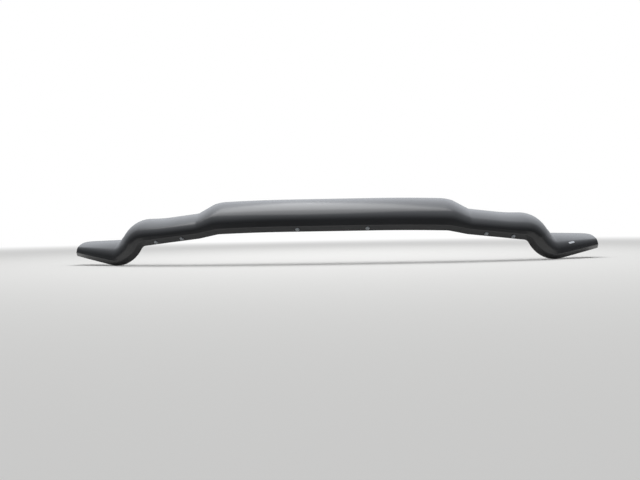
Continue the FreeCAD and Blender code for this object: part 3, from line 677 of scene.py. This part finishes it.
@dataclass
class Sheet:
    """The formed sheet: one surface along the crease line, given its wall, its rim and its holes."""

    SIZES: ClassVar[tuple[str, ...]] = ("flange", "face", "nose_radius", "top_radius", "brow", "rear")
    OUTLINE_PIECES: ClassVar[float] = 5.0
    form: SheetForm
    shift: Vector
    material: bpy.types.Material
    seats: Sequence[Seat]
    step: float = 5.0
    tip_reach: float = 60.0
    tip_steps: int = 40
    tip_back: float = 78.0
    trim_passes: int = 12
    columns_each: int = 10
    rim_round: float = 0.45
    rim_angle: float = 60.0
    rim_segments: int = 3
    hole_radius: float = 3.3
    hole_sides: int = 40
    drill_reach: float = 7.5

    def distances(self) -> list[float]:
        """Places the sections, closer together towards the tips.

        Returns:
            Their distances along the crease line, from the left tip to the right one.
        """
        length, reach = self.form.length, self.tip_reach
        count = math.ceil((length - reach) / self.step)
        half = [(length - reach) * number / count for number in range(count)]
        half += [length - reach * (1 - math.sin(math.pi / 2 * number / self.tip_steps))
                 for number in range(self.tip_steps + 1)]
        return [-distance for distance in reversed(half[1:])] + half

    def tip_circle(self) -> tuple[Vector, float]:
        """Finds the circle that rounds the right tip's rear corner, seen from above.

        Returns:
            Its centre, and how far from the middle of the sheet the rounding starts.
        """
        length, radius = self.form.length, self.form.tip_corner_radius
        corner, before = (self.form.station(distance).rear_edge.xy
                          for distance in (length, length - self.tip_back))
        inward = (before - corner).normalized()
        half = inward.angle(FORWARD_IN_PLAN) / 2
        bisector = (inward + FORWARD_IN_PLAN).normalized()
        return corner + bisector * (radius / math.sin(half)), corner.x + inward.x * radius / math.tan(half)

    def last_heading(self, station: Station, top: float, circle: Vector, first: float) -> float:
        """Finds the heading at which a section's top arc ends, short of the rounded corner.

        Args:
            station: The section's station.
            top: Radius of its top arc.
            circle: Centre of the circle that rounds the corner, seen from above.
            first: Where the rounding starts, measured from the middle.

        Returns:
            The heading in radians, which is the section's own rear slope away from the corner.
        """
        section = station.section
        brow, rear = math.radians(section.brow), math.radians(section.rear)
        heading = rear
        for _ in range(self.trim_passes):
            run = section.run - top * (math.sin(heading) - math.sin(rear))
            rise = section.rise - top * (math.cos(rear) - math.cos(heading))
            across = abs(station.origin.x + station.upward.x * rise)
            if across <= first:
                return rear
            room = self.form.tip_corner_radius ** 2 - (across - circle.x) ** 2
            limit = circle.y + math.sqrt(max(0.0, room)) - station.origin.y
            sine = math.sin(heading) + (run - limit) / top
            heading = min(brow, max(rear, math.asin(min(1.0, sine))))
        return heading

    def station_points(self) -> bpy.types.Object:
        """Makes one point for each section, carrying the section's sizes as attributes.

        Returns:
            An object whose mesh is those points.
        """
        stations = [self.form.station(distance) for distance in self.distances()]
        mesh = mesh_of("sheet_stations", [station.origin + self.shift for station in stations])
        mesh.attributes.new("upward", "FLOAT_VECTOR", "POINT")
        for name in self.SIZES:
            mesh.attributes.new(name, "FLOAT", "POINT")
        circle, first = self.tip_circle()
        flange_slope = math.sin(math.radians(self.form.flange_angle))
        for number, station in enumerate(stations):
            section = station.section
            nose, top = section.radii(self.form.face_heading)
            values = (section.flange / flange_slope * MM, section.face * MM, nose * MM, top * MM,
                      math.radians(section.brow), self.last_heading(station, top, circle, first))
            mesh.attributes["upward"].data[number].vector = station.upward
            for name, value in zip(self.SIZES, values):
                mesh.attributes[name].data[number].value = value
        return new_object("formed_sheet", mesh)

    def tree(self) -> bpy.types.GeometryNodeTree:
        """Builds the tree that draws the section at every station and skins the sections.

        Returns:
            A tree with inputs for the headings of flange and face, the crease's rounding and the
            material.
        """
        tree, given = new_tree("sheet_along_crease", {
            "Stations": "Geometry", "Columns Each": "Int", "Flange Heading": "Float", "Face Heading": "Float",
            "Crease Radius": "Float", "Crease Trim": "Float", "Material": "Material"})
        rows = add_node(tree, "GeometryNodeAttributeDomainSize", {0: given["Stations"]}, component="MESH")
        columns = add_node(tree, "ShaderNodeMath",
                           {0: given["Columns Each"], 1: self.OUTLINE_PIECES, 2: 1.0},
                           operation="MULTIPLY_ADD")
        grid = add_node(tree, "GeometryNodeMeshGrid", {"Vertices X": rows, "Vertices Y": columns})
        index = add_node(tree, "GeometryNodeInputIndex")
        part = add_node(tree, "ShaderNodeMath", {0: index, 1: columns}, operation="DIVIDE")
        row = add_node(tree, "ShaderNodeMath", {0: part}, operation="FLOOR")
        column = add_node(tree, "ShaderNodeMath", {0: index, 1: columns}, operation="MODULO")
        place = add_node(tree, "ShaderNodeMath", {0: column, 1: given["Columns Each"]}, operation="DIVIDE")
        kinds = dict.fromkeys(self.SIZES, "FLOAT") | dict.fromkeys(("upward", "position"), "FLOAT_VECTOR")
        read = {}
        for name, kind in kinds.items():
            source = add_node(tree, "GeometryNodeInputNamedAttribute", {"Name": name}, data_type=kind)
            read[name] = add_node(tree, "GeometryNodeSampleIndex",
                                  {"Geometry": given["Stations"], "Value": source, "Index": row},
                                  data_type=kind)
        inward, steep = given["Flange Heading"], given["Face Heading"]
        outline = ((read["flange"], inward, None), (given["Crease Radius"], inward, steep),
                   (read["face"], steep, None), (read["nose_radius"], steep, read["brow"]),
                   (read["top_radius"], read["brow"], read["rear"]))
        outward = add_node(tree, "ShaderNodeVectorRotate", {"Vector": (-1.0, 0.0, 0.0), "Angle": inward},
                           rotation_type="Z_AXIS")
        point = add_node(tree, "ShaderNodeVectorMath", {0: outward, "Scale": read["flange"]},
                         operation="SCALE")
        for number, (size, first, last) in enumerate(outline):
            share = add_node(tree, "ShaderNodeMath", {0: place, 1: float(number)}, operation="SUBTRACT",
                             use_clamp=True)
            point = self.draw(tree, size, first, last, share, given["Crease Trim"], point)
        reach = add_node(tree, "ShaderNodeSeparateXYZ", {0: point}).outputs
        raised = add_node(tree, "ShaderNodeVectorMath",
                          {0: read["upward"], 1: reach["Y"], 2: read["position"]}, operation="MULTIPLY_ADD")
        rearward = add_node(tree, "ShaderNodeCombineXYZ", {"Y": reach["X"]})
        position = add_node(tree, "ShaderNodeVectorMath", {0: raised, 1: rearward}, operation="ADD")
        moved = add_node(tree, "GeometryNodeSetPosition", {"Geometry": grid, "Position": position})
        end_tree(tree, moved, given["Material"])
        return tree

    @staticmethod
    def draw(tree: bpy.types.NodeTree, size: Any, first: Any, last: Any, share: Any, trim: Any,
             point: bpy.types.Node) -> bpy.types.Node:
        """Adds one piece of the outline to the running point, whose X is its run and Y its rise.

        Args:
            tree: The tree that draws the section.
            size: Length of a straight piece, or radius of an arc.
            first: Heading at the piece's start in radians.
            last: Heading at its end, or None for a straight piece.
            share: How much of the piece is drawn, from 0 to 1.
            trim: Length that a straight piece loses to the crease.
            point: The running point.

        Returns:
            The new running point.
        """
        if last is None:
            way = add_node(tree, "ShaderNodeVectorRotate", {"Vector": (1.0, 0.0, 0.0), "Angle": first},
                           rotation_type="Z_AXIS")
            length = add_node(tree, "ShaderNodeMath", {0: size, 1: trim}, operation="SUBTRACT")
            size = add_node(tree, "ShaderNodeMath", {0: length, 1: share}, operation="MULTIPLY")
        else:
            turn = add_node(tree, "ShaderNodeMath", {0: last, 1: first}, operation="SUBTRACT")
            now = add_node(tree, "ShaderNodeMath", {0: turn, 1: share, 2: first}, operation="MULTIPLY_ADD")
            spokes = [add_node(tree, "ShaderNodeVectorRotate", {"Vector": (0.0, -1.0, 0.0), "Angle": heading},
                               rotation_type="Z_AXIS") for heading in (first, now)]
            way = add_node(tree, "ShaderNodeVectorMath", {0: spokes[0], 1: spokes[1]}, operation="SUBTRACT")
        return add_node(tree, "ShaderNodeVectorMath", {0: way, 1: size, 2: point}, operation="MULTIPLY_ADD")

    def build(self) -> bpy.types.Object:
        """Makes the whole sheet and puts it in place of its solid.

        Returns:
            The finished piece.
        """
        form = self.form
        item = self.station_points()
        modifier = add_modifier(item, "sheet", "NODES", node_group=self.tree())
        set_inputs(modifier, {
            "Columns Each": self.columns_each, "Flange Heading": math.radians(180 - form.flange_angle),
            "Face Heading": math.radians(form.face_heading), "Crease Radius": form.crease_radius * MM,
            "Crease Trim": form.crease_trim * MM, "Material": self.material})
        baked(item)
        bar = [Ring(self.hole_radius, -self.drill_reach), Ring(self.hole_radius, self.drill_reach)]
        drills = scattered("flange_drills", turned_mesh("drill_pattern", bar, self.hole_sides), self.seats,
                           self.material)
        add_modifier(item, "wall", "SOLIDIFY", thickness=form.wall * MM, offset=-1.0, use_even_offset=True)
        add_modifier(item, "rim", "BEVEL", limit_method="ANGLE", angle_limit=math.radians(self.rim_angle),
                     width=self.rim_round * MM, segments=self.rim_segments)
        add_modifier(item, "holes", "BOOLEAN", operation="DIFFERENCE", solver="EXACT", object=drills)
        baked(item)
        bpy.data.objects.remove(drills)
        return settle(item, self.material, "shield_sheet", "shield")


# Fasteners, pads and the plate

@dataclass(frozen=True)
class SeatPlan:
    """Works out where screws, pads and the plate sit on the sheet.

    A share below 1 is of the dome's half width, from 1 of the shoulder and from 2 of the wing.
    """

    form: SheetForm
    shift: Vector
    bracket_shares: tuple[float, ...] = (0.3, 1.275, 1.71)
    screw_line: float = 12.0
    pad_shares: tuple[float, ...] = (0.19, 0.585, 0.913, 1.435)
    pad_inset: float = 15.0
    badge_share: float = 2.521
    badge_slope: float = 54.0
    seat_gap: float = 0.15

    def station(self, share: float) -> Station:
        """Finds the section plane at a share of the dome, the shoulder or the wing.

        Args:
            share: The share, counted as the class says.

        Returns:
            The station there.
        """
        form = self.form
        if share < 1:
            return form.station_across(form.dome_half_width * share)
        if share < 2:
            start = form.dome_half_width + form.step_width
            return form.station_across(start + form.shoulder_width * (share - 1))
        return form.station_across(form.corners()[-1].x - form.wing_width * (3 - share))

    def screws(self) -> list[Seat]:
        """Seats the flange screws on the inside of the flange.

        Returns:
            Seats whose Z axes point inwards, each followed by its mirror image.
        """
        seats = []
        for station in map(self.station, self.bracket_shares):
            down = station.direction(-self.form.flange_angle)
            inward = station.direction(90 - self.form.flange_angle)
            foot_line = (down - station.along * down.dot(station.along)).normalized()
            normal = station.along.cross(foot_line)
            centre = station.origin + down * self.screw_line + inward * self.form.wall + self.shift
            seat = Seat.facing(centre + normal * self.seat_gap, station.along, normal)
            seats += [seat, seat.mirrored()]
        return seats

    def pads(self) -> list[Seat]:
        """Seats the pads under the rear edge.

        Returns:
            Seats whose Z axes point downwards, each followed by its mirror image.
        """
        seats = []
        for station in map(self.station, self.pad_shares):
            rear = station.section.rear
            top = station.section.radii(self.form.face_heading)[1]
            heading = rear + math.degrees(self.pad_inset / top)
            depth = self.form.wall + 2 * self.seat_gap
            point = station.rear_edge - station.swing(top, rear, heading)
            point -= station.direction(heading + 90) * depth
            upward = station.along.cross(station.direction(heading)).normalized()
            seat = Seat.facing(point + self.shift, station.along, -upward)
            seats += [seat, seat.mirrored()]
        return seats

    def badge(self) -> Seat:
        """Seats the plate on the nose of the right wing.

        Returns:
            A seat whose Z axis points outwards.
        """
        station, face_heading = self.station(self.badge_share), self.form.face_heading
        nose = station.section.radii(face_heading)[0]
        point = station.origin + station.direction(face_heading) * station.section.face
        point += station.swing(nose, self.badge_slope, face_heading)
        outward = station.along.cross(station.direction(self.badge_slope)).normalized()
        return Seat.facing(point + outward * (2 * self.seat_gap) + self.shift, station.along, outward)


@dataclass(frozen=True)
class Hardware:
    """Patterns of the small pieces, each drawn once about its own axis."""

    HEXAGON: ClassVar[int] = 6
    around: int = 48
    screw_radius: float = 3.0
    screw_length: float = 14.0
    screw_tip: float = 0.54
    head_radius: float = 5.25
    head_height: float = 3.3
    head_top_radius: float = 3.2
    head_steps: int = 7
    socket_radius: float = 2.3
    socket_depth: float = 2.0
    thread_pitch: float = 1.0
    thread_depth: float = 0.32
    thread_steps: int = 6
    thread_rows: int = 75
    washer_radius: float = 6.5
    washer_height: float = 1.0
    nut_radius: float = 5.75
    nut_height: float = 5.0
    nut_chamfer: float = 0.6
    bore_radius: float = 3.1
    edge: float = 0.18
    pad_radius: float = 6.35
    pad_height: float = 3.6
    pad_round: float = 1.2
    pad_steps: int = 6

    def thread(self, angle: float, height: float) -> float:
        """Cuts the screw's thread.

        Args:
            angle: Angle about the screw in radians.
            height: Distance from the underside of its head.

        Returns:
            Change of the radius there, zero or less.
        """
        if height < self.thread_pitch or height > self.screw_length - self.screw_tip:
            return 0.0
        phase = (height / self.thread_pitch - angle / (2 * math.pi)) % 1.0
        return -self.thread_depth * abs(2 * phase - 1)

    def screw(self) -> bpy.types.Mesh:
        """Draws a button-head screw with a hexagon socket, the underside of its head at zero.

        Returns:
            The pattern.
        """
        top, edge, swell = -self.head_height, self.edge, self.head_radius - self.head_top_radius
        rings = [Ring(self.socket_radius, top + self.socket_depth, self.HEXAGON),
                 Ring(self.socket_radius, top + edge, self.HEXAGON),
                 Ring(self.socket_radius + edge, top, self.HEXAGON)]
        for step in range(self.head_steps + 1):
            angle = math.pi / 2 * step / self.head_steps
            rings.append(Ring(self.head_top_radius + swell * math.sin(angle),
                              top * math.cos(angle) - edge * math.sin(angle)))
        rings += [Ring(self.head_radius - edge, 0.0), Ring(self.screw_radius + edge, 0.0),
                  Ring(self.screw_radius, edge)]
        rings += [Ring(self.screw_radius, self.thread_pitch * (1 + number / self.thread_steps))
                  for number in range(self.thread_rows)]
        rings += [Ring(self.screw_radius, self.screw_length - self.screw_tip),
                  Ring(self.screw_radius - self.screw_tip, self.screw_length)]
        return turned_mesh("screw_pattern", rings, self.around, ridge=self.thread)

    def washer(self) -> bpy.types.Mesh:
        """Draws a flat washer with broken edges, lying from zero upwards.

        Returns:
            The pattern.
        """
        edge, top, rim, bore = self.edge, self.washer_height, self.washer_radius, self.bore_radius
        corners = ((rim - edge, 0.0), (rim, edge), (rim, top - edge), (rim - edge, top),
                   (bore + edge, top), (bore, top - edge), (bore, edge), (bore + edge, 0.0))
        return turned_mesh("washer_pattern", [Ring(*corner) for corner in corners], self.around, Ends.LOOP)

    def nut(self) -> bpy.types.Mesh:
        """Draws a hexagon nut with chamfered corners, lying from zero upwards.

        Returns:
            The pattern.
        """
        flat = self.nut_radius * math.cos(math.pi / self.HEXAGON)
        top, chamfer, bore = self.nut_height, self.nut_chamfer, self.bore_radius
        rings = [Ring(flat, 0.0), Ring(self.nut_radius, chamfer, self.HEXAGON),
                 Ring(self.nut_radius, top - chamfer, self.HEXAGON), Ring(flat, top),
                 Ring(bore + chamfer, top), Ring(bore, top - chamfer), Ring(bore, chamfer),
                 Ring(bore + chamfer, 0.0)]
        return turned_mesh("nut_pattern", rings, self.around, Ends.LOOP)

    def pad(self) -> bpy.types.Mesh:
        """Draws a soft pad with a rounded rim, its flat side at zero.

        Returns:
            The pattern.
        """
        rings = [Ring(self.pad_radius - self.edge, 0.0), Ring(self.pad_radius, self.edge)]
        for step in range(self.pad_steps + 1):
            angle = math.pi / 2 * step / self.pad_steps
            rings.append(Ring(self.pad_radius - self.pad_round * (1 - math.cos(angle)),
                              self.pad_height - self.pad_round * (1 - math.sin(angle))))
        return turned_mesh("pad_pattern", rings, self.around)


@dataclass
class SmallPieces:
    """Screws, washers, nuts and pads, each kind scattered over its seats as one piece."""

    plan: SeatPlan
    metal: bpy.types.Material
    clear: bpy.types.Material
    hardware: Hardware = field(default_factory=Hardware)
    bracket_wall: float = 2.0

    def build(self) -> None:
        """Makes all small pieces, stacked on the flange as they are screwed together."""
        hardware, gap = self.hardware, self.plan.seat_gap
        seats = self.plan.screws()
        washer_seat = -gap - self.plan.form.wall - hardware.washer_height - gap
        stack = (("flange_screws", hardware.screw(), washer_seat - gap / 2),
                 ("flange_washers", hardware.washer(), washer_seat),
                 ("flange_nuts", hardware.nut(), self.bracket_wall + gap / 2))
        for node, pattern, height in stack:
            item = scattered(f"{node}_detailed", pattern, [seat.raised(height) for seat in seats], self.metal)
            settle(item, self.metal, "fastener_steel", node)
        nodes = [f"{place}_pad_{side}" for place in ("first", "second", "third", "shoulder")
                 for side in ("left", "right")]
        item = scattered("bump_pads", hardware.pad(), self.plan.pads(), self.clear)
        settle(item, self.clear, "clear_pad", *nodes)


@dataclass
class BlankPlate:
    """Plain plate on the right wing: rounded ends, rounded rim and a faint raised border."""

    seat: Seat
    material: bpy.types.Material
    length: float = 24.0
    width: float = 7.0
    height: float = 1.2
    rim: float = 0.35
    rim_middle: float = 0.105
    border: float = 0.8
    sunk: float = 0.15
    end_steps: int = 20

    def ring(self, inset: float, height: float) -> list[Vector]:
        """Draws one ring round the plate.

        Args:
            inset: How far it lies inside the plate's outline.
            height: Height above the plate's seat.

        Returns:
            Its points, in place on the sheet.
        """
        radius = self.width / 2 - inset
        middle = (self.length - self.width) / 2
        points = []
        for centre, start in ((middle, -90), (-middle, 90)):
            for step in range(self.end_steps + 1):
                angle = math.radians(start + 180 * step / self.end_steps)
                point = Vector((centre + math.cos(angle) * radius, math.sin(angle) * radius, height))
                points.append(self.seat.place @ point)
        return points

    def build(self) -> bpy.types.Object:
        """Skins the plate's rings and puts it in place of its solid.

        Returns:
            The finished piece.
        """
        levels = ((self.rim / 2, 0.0), (0.0, self.rim / 2), (0.0, self.height - self.rim),
                  (self.rim_middle, self.height - self.rim_middle), (self.rim, self.height),
                  (self.border, self.height), (self.border + self.sunk, self.height - self.sunk))
        mesh = skinned("blank_plate", [self.ring(*level) for level in levels], Ends.FACES)
        return settle(new_object("blank_plate", mesh), self.material, "badge_blank", "badge_plate")


# Finishes

class Grain(Enum):
    """How a surface's fine pattern looks."""

    CLOUD = "ShaderNodeTexNoise"
    CELL = "ShaderNodeTexVoronoi"


def new_material(name: str) -> bpy.types.Material:
    """Starts a material with an empty node tree.

    Args:
        name: Name of the material.

    Returns:
        The new material.
    """
    material = bpy.data.materials.new(name)
    material.use_nodes = True
    material.node_tree.nodes.clear()
    return material


@dataclass(frozen=True)
class Finish:
    """A surface finish: colours, gloss and the patterns that vary them."""

    name: str
    dark: str
    light: str
    roughness: tuple[float, float]
    patch_mm: float
    grain_mm: float
    bump_mm: float
    grain: Grain = Grain.CLOUD
    stretch: tuple[float, float, float] = (1.0, 1.0, 1.0)
    metallic: float = 0.0
    ior: float = 1.5
    transmission: float = 0.0
    coat: float = 0.0
    coat_roughness: float = 0.15
    coat_ior: float = 1.5
    patch_detail: float = 4.0
    grain_share: float = 0.35
    gloss_range: tuple[float, float] = (0.35, 1.0)

    def build(self) -> bpy.types.Material:
        """Makes the material.

        Returns:
            A material whose patterns read object coordinates.
        """
        material = new_material(self.name)
        tree = material.node_tree
        place = add_node(tree, "ShaderNodeTexCoord").outputs["Object"]
        patch = add_node(tree, "ShaderNodeTexNoise",
                         {"Vector": place, "Scale": 1 / (self.patch_mm * MM), "Detail": self.patch_detail})
        stretched = add_node(tree, "ShaderNodeMapping", {"Vector": place, "Scale": self.stretch})
        grain = add_node(tree, self.grain.value, {"Vector": stretched, "Scale": 1 / (self.grain_mm * MM)})
        colour = add_node(tree, "ShaderNodeMix",
                          {0: patch, COLOUR_A: linear_colour(self.dark),
                           COLOUR_B: linear_colour(self.light)}, data_type="RGBA")
        mixed = add_node(tree, "ShaderNodeMath", {0: grain, 1: self.grain_share, 2: patch},
                         operation="MULTIPLY_ADD")
        gloss = add_node(tree, "ShaderNodeMapRange",
                         dict(enumerate((mixed, *self.gloss_range, *self.roughness))))
        bump = add_node(tree, "ShaderNodeBump",
                        {"Height": grain, "Distance": self.bump_mm * MM, "Strength": 1.0})
        shader = add_node(tree, "ShaderNodeBsdfPrincipled",
                          {"Base Color": colour.outputs[COLOUR_OUT], "Roughness": gloss, "Normal": bump,
                           "Metallic": self.metallic, "IOR": self.ior,
                           "Transmission Weight": self.transmission, "Coat Weight": self.coat,
                           "Coat Roughness": self.coat_roughness, "Coat IOR": self.coat_ior})
        add_node(tree, "ShaderNodeOutputMaterial", {0: shader})
        return material


# Formed acrylic sheet, coloured through, under a smooth cap layer: deep black with a satin sheen, which
# turns light only where it mirrors the sky at a flat angle. Its IOR is matched to the photograph and
# lies below the usual 1.49
SATIN_SHEET = Finish("thermoformed_satin_acrylic", "#131416", "#191a1c", (0.30, 0.36), 140.0, 2.2, 0.012,
                     ior=1.38, coat=1.0, coat_roughness=0.2, coat_ior=1.38)
# Folded steel strip, dip coated: black with a soft orange peel
DIP_COAT = Finish("dip_coated_steel", "#17181a", "#232427", (0.38, 0.5), 18.0, 1.6, 0.05, ior=1.52)
# Zinc plate on turned steel: cool grey with a fine mottled gloss
ZINC_PLATE = Finish("zinc_plated_steel", "#8e9296", "#aeb1b4", (0.24, 0.4), 4.0, 0.6, 0.01, Grain.CELL,
                    metallic=1.0)
# Cast polyurethane: clear and soft, a little cloudy
CLEAR_PAD = Finish("clear_polyurethane", "#dfe2e0", "#f0f1ef", (0.12, 0.2), 6.0, 1.2, 0.01, ior=1.49,
                   transmission=0.85)
# Closed-cell acrylic foam: dull dark grey with small cells, drawn coarser than real ones so that they show
FOAM_TAPE = Finish("acrylic_foam", "#26272a", "#34363a", (0.85, 0.95), 8.0, 0.9, 0.12, Grain.CELL)
# Satin silver plate: brushed along its length, with lines drawn coarser than real ones so that they show
SATIN_PLATE = Finish("satin_silver_plate", "#b9bbbd", "#d6d7d8", (0.22, 0.34), 9.0, 0.5, 0.01,
                     stretch=(0.08, 1.0, 1.0), metallic=1.0)


@dataclass
class Hidden:
    """The solids that stay as they are, dressed in their own finishes."""

    coat: bpy.types.Material
    foam: bpy.types.Material

    def build(self) -> None:
        """Gives brackets and tapes their materials."""
        for name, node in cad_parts.items():
            finish = self.coat if "bracket" in name else self.foam if "tape" in name else None
            if finish:
                node.data.materials.clear()
                node.data.materials.append(finish)
                log.info("%s: finished as %s", name, finish.name)


# Studio

@dataclass(frozen=True)
class Lamp:
    """Square soft lamp that points at the part."""

    name: str
    power: float
    size: float
    place: tuple[float, float, float]
    mirrored: bool

    def hang(self) -> None:
        """Adds the lamp to the scene, unseen by the camera."""
        data = bpy.data.lights.new(self.name, "AREA")
        data.shape = "SQUARE"
        data.size = self.size
        data.energy = self.power
        item = bpy.data.objects.new(self.name, data)
        bpy.context.scene.collection.objects.link(item)
        item.location = self.place
        item.visible_camera = False
        item.visible_glossy = self.mirrored
        item.rotation_mode = "QUATERNION"
        item.rotation_quaternion = (-Vector(self.place)).to_track_quat("-Z", "Y")


@dataclass
class Studio:
    """Pale floor, soft light and the camera at the photograph's place.

    The camera's place is in millimetres; its reach, the floor, its fade and the lamps are in metres.
    """

    camera_place: Vector = Vector((31.3, -2055.9, -13.1))
    camera_yaw: float = -2.02
    camera_pitch: float = -0.77
    camera_roll: float = -0.97
    camera_reach: tuple[float, float] = (0.02, 100.0)
    lens: float = 36.0
    sensor: float = 36.0
    floor_half: float = 30.0
    floor_gap: float = 0.0005
    floor_colour: str = "#e9e9e8"
    fade_range: tuple[float, float] = (1.2, 6.0)
    diffuse_level: float = 0.3
    softbox: Lamp = Lamp("softbox", 52.0, 3.0, (-0.3, 0.3, 2.6), True)
    bounce: Lamp = Lamp("bounce", 28.0, 2.0, (0.5, 1.0, 2.6), False)
    front_level: float = 0.16
    front_range: tuple[float, float] = (-1.05, 0.2)
    front_lift: float = 0.6
    horizon_level: float = 0.12
    horizon_range: tuple[float, float] = (-0.2, 0.75)
    side_level: float = 0.42
    side_range: tuple[float, float] = (0.38, 0.85)
    sky_level: float = 1.42
    sky_colour: str = "#f4f8ff"

    def camera(self) -> None:
        """Puts the camera where the photograph was taken from."""
        data = bpy.data.cameras.new("camera")
        data.lens, data.sensor_width = self.lens, self.sensor
        data.clip_start, data.clip_end = self.camera_reach
        item = bpy.data.objects.new("camera", data)
        bpy.context.scene.collection.objects.link(item)
        yaw, pitch, roll = (math.radians(angle) for angle in
                            (self.camera_yaw, self.camera_pitch, self.camera_roll))
        ahead = Vector((math.sin(yaw) * math.cos(pitch), math.cos(yaw) * math.cos(pitch), math.sin(pitch)))
        item.rotation_mode = "QUATERNION"
        item.rotation_quaternion = ahead.to_track_quat("-Z", "Y") @ Quaternion((0.0, 0.0, 1.0), roll)
        item.location = self.camera_place * MM
        bpy.context.scene.camera = item

    def floor(self) -> None:
        """Lays a pale floor just under the sheet, which fades to white far away."""
        half, level = self.floor_half / MM, (cad_low.z - self.floor_gap) / MM
        corners = [Vector((x, y, level)) for x, y in
                   ((-half, -half), (half, -half), (half, half), (-half, half))]
        item = new_object("floor", mesh_of("floor", corners, [(0, 1, 2, 3)]))
        material = new_material("pale_floor")
        tree = material.node_tree
        place = add_node(tree, "ShaderNodeTexCoord").outputs["Object"]
        away = add_node(tree, "ShaderNodeVectorMath", {0: place}, operation="LENGTH").outputs["Value"]
        fade = add_node(tree, "ShaderNodeMapRange", dict(enumerate((away, *self.fade_range))),
                        interpolation_type="SMOOTHSTEP")
        path = add_node(tree, "ShaderNodeLightPath").outputs
        seen: Any = path["Is Camera Ray"]
        for ray in ("Is Glossy Ray", "Is Transmission Ray"):
            seen = add_node(tree, "ShaderNodeMath", {0: seen, 1: path[ray]}, operation="MAXIMUM")
        factor = add_node(tree, "ShaderNodeMath", {0: fade, 1: seen}, operation="MULTIPLY")
        paint = add_node(tree, "ShaderNodeBsdfDiffuse", {0: linear_colour(self.floor_colour)})
        white = add_node(tree, "ShaderNodeEmission", {0: WHITE, 1: 1.0})
        shader = add_node(tree, "ShaderNodeMixShader", {0: factor, 1: paint, 2: white})
        add_node(tree, "ShaderNodeOutputMaterial", {0: shader})
        item.data.materials.append(material)

    def world(self) -> None:
        """Makes white surroundings, with a darker room in front and at the sides for what is mirrored."""
        world = bpy.data.worlds.new("studio")
        world.use_nodes = True
        bpy.context.scene.world = world
        tree = world.node_tree
        tree.nodes.clear()
        ray = add_node(tree, "ShaderNodeTexCoord").outputs["Generated"]
        parts = add_node(tree, "ShaderNodeSeparateXYZ", {0: ray}).outputs
        lifted = add_node(tree, "ShaderNodeMath", {0: parts["Z"], 1: self.front_lift, 2: parts["Y"]},
                          operation="MULTIPLY_ADD")
        sideways = add_node(tree, "ShaderNodeMath", {0: parts["X"]}, operation="ABSOLUTE")
        sky: bpy.types.Node | float = 1.0
        for value, limits, levels in ((lifted, self.front_range, (self.front_level, self.sky_level)),
                                      (parts["Z"], self.horizon_range, (self.horizon_level, 1.0)),
                                      (sideways, self.side_range, (1.0, self.side_level))):
            level = add_node(tree, "ShaderNodeMapRange", dict(enumerate((value, *limits, *levels))),
                             interpolation_type="SMOOTHSTEP")
            sky = add_node(tree, "ShaderNodeMath", {0: level, 1: sky}, operation="MULTIPLY")
        path = add_node(tree, "ShaderNodeLightPath").outputs
        mirrored = add_node(tree, "ShaderNodeMix", {0: path["Is Glossy Ray"], 2: self.diffuse_level, 3: sky},
                            data_type="FLOAT")
        clear = add_node(tree, "ShaderNodeMath", {0: path["Is Camera Ray"], 1: path["Is Transmission Ray"]},
                         operation="MAXIMUM")
        strength = add_node(tree, "ShaderNodeMix", {0: clear, 2: mirrored, 3: 1.0}, data_type="FLOAT")
        tint = add_node(tree, "ShaderNodeMix",
                        {0: path["Is Glossy Ray"], COLOUR_A: WHITE,
                         COLOUR_B: linear_colour(self.sky_colour)}, data_type="RGBA")
        shader = add_node(tree, "ShaderNodeBackground", {0: tint.outputs[COLOUR_OUT], 1: strength})
        add_node(tree, "ShaderNodeOutputWorld", {0: shader})

    def build(self) -> None:
        """Makes the whole studio."""
        self.camera()
        self.floor()
        self.world()
        self.softbox.hang()
        self.bounce.hang()
        bpy.context.scene.view_settings.view_transform = "Standard"


def main() -> None:
    """Builds the pieces in order, then the studio."""
    logging.basicConfig(level=logging.INFO, format="%(name)s: %(message)s")
    form = SheetForm()
    shift = sheet_shift(form)
    plan = SeatPlan(form, shift)
    Sheet(form, shift, SATIN_SHEET.build(), plan.screws()).build()
    SmallPieces(plan, ZINC_PLATE.build(), CLEAR_PAD.build()).build()
    BlankPlate(plan.badge(), SATIN_PLATE.build()).build()
    Hidden(DIP_COAT.build(), FOAM_TAPE.build()).build()
    Studio().build()


if __name__ == "__main__":
    main()
